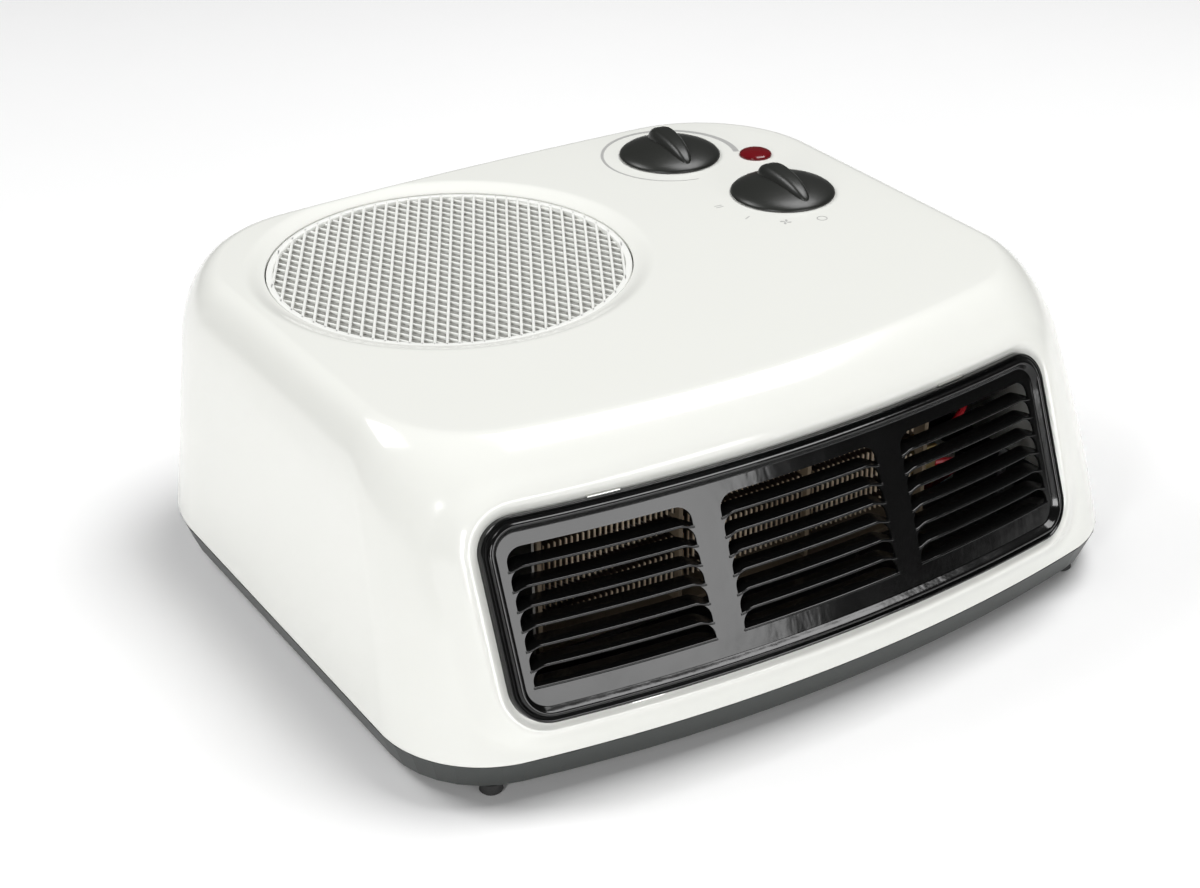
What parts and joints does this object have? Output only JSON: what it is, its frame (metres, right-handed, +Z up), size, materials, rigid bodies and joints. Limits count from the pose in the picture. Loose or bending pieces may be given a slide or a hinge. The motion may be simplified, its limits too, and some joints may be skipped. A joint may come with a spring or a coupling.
{
  "type": "fan convector heater",
  "caption": "Compact electric fan convector heater: moulded casing, round top air inlet, louvred front outlet, thermostat dial, mode selector and pilot lamp.",
  "frame": {"origin": "centre of the footprint on the floor", "axes": "+Z up, -Y to the front where the louvred outlet is, +X to the right seen from the front, where the dials are"},
  "size_m": [0.262, 0.2386, 0.109],
  "materials": {
    "base_grey": "satin, dark grey",
    "foot_rubber": "matt",
    "cover_white": "gloss, warm white",
    "zinc_steel": "zinc plated",
    "mesh_white": "gloss, white",
    "filter_grey": "woven screen",
    "grille_black": "gloss black enamel",
    "spring_steel": "bright",
    "shield_steel": "aluminised sheet",
    "mica": "pressed mica board",
    "ribbon_alloy": "oxidised heating alloy",
    "terminal_brass": "satin",
    "cutout_black": "moulded resin",
    "fuse_white": "ceramic sleeve",
    "scroll_grey": "satin, filled plastic",
    "impeller_white": "satin",
    "shaft_steel": "ground",
    "lamination": "varnished steel sheets",
    "bobbin_nylon": "natural nylon",
    "coil_copper": "enamelled copper",
    "bush_bronze": "sintered bronze",
    "knob_charcoal": "satin charcoal",
    "thermostat_ivory": "moulded steatite",
    "bimetal": "rolled strip",
    "switch_black": "moulded resin",
    "lamp_red": "clear dark red",
    "holder_white": "satin",
    "neon_glass": "clear",
    "block_white": "satin",
    "gland_black": "matt",
    "clamp_black": "satin",
    "wire_red": "heat-proof sleeving",
    "wire_blue": "insulation"
  },
  "bodies": {
    "housing": {"base_pan": "base_grey", "rubber_feet": "foot_rubber", "top_cover": "cover_white", "cover_screws": "zinc_steel", "inlet_mesh": "mesh_white", "inlet_filter": "filter_grey", "outlet_grille": "grille_black", "grille_clips": "spring_steel", "heat_shield": "shield_steel", "element_frame": "mica", "heating_ribbons": "ribbon_alloy", "element_terminals": "terminal_brass", "thermal_cutout": "cutout_black", "thermal_fuse": "fuse_white", "outlet_duct": "shield_steel", "scroll_housing": "scroll_grey", "scroll_lid": "scroll_grey", "scroll_screws": "zinc_steel", "motor_stator": "lamination", "coil_bobbin": "bobbin_nylon", "motor_coil": "coil_copper", "upper_bracket": "zinc_steel", "lower_bracket": "zinc_steel", "motor_bushes": "bush_bronze", "motor_screws": "zinc_steel", "thermostat_body": "thermostat_ivory", "thermostat_nut": "zinc_steel", "bimetal_strip": "bimetal", "selector_switch": "switch_black", "selector_screws": "zinc_steel", "lamp_lens": "lamp_red", "lamp_holder": "holder_white", "neon_lamp": "neon_glass", "terminal_block": "block_white", "terminal_screws": "terminal_brass", "cord_gland": "gland_black", "cord_clamp": "clamp_black", "clamp_screws": "zinc_steel", "red_wires": "wire_red", "blue_wires": "wire_blue"},
    "fan_rotor": {"impeller": "impeller_white", "impeller_clip": "spring_steel", "motor_shaft": "shaft_steel", "rotor_core": "lamination"},
    "thermostat_dial": {"thermostat_knob": "knob_charcoal", "thermostat_shaft": "shaft_steel"},
    "selector_dial": {"selector_knob": "knob_charcoal", "selector_shaft": "shaft_steel"}
  },
  "joints": [
    {"name": "fan_spin", "type": "hinge", "parent": "housing", "child": "fan_rotor", "pos_m": [-0.0434, 0.0378, 0.05], "axis": [0, 0, 1], "continuous": true},
    {"name": "thermostat_turn", "type": "hinge", "parent": "housing", "child": "thermostat_dial", "pos_m": [0.0655, 0.0726, 0.1], "axis": [0, 0, 1], "range_deg": [-285, 0]},
    {"name": "selector_turn", "type": "hinge", "parent": "housing", "child": "selector_dial", "pos_m": [0.0784, 0.023, 0.1], "axis": [0, 0, 1], "range_deg": [-90, 0]}
  ]
}
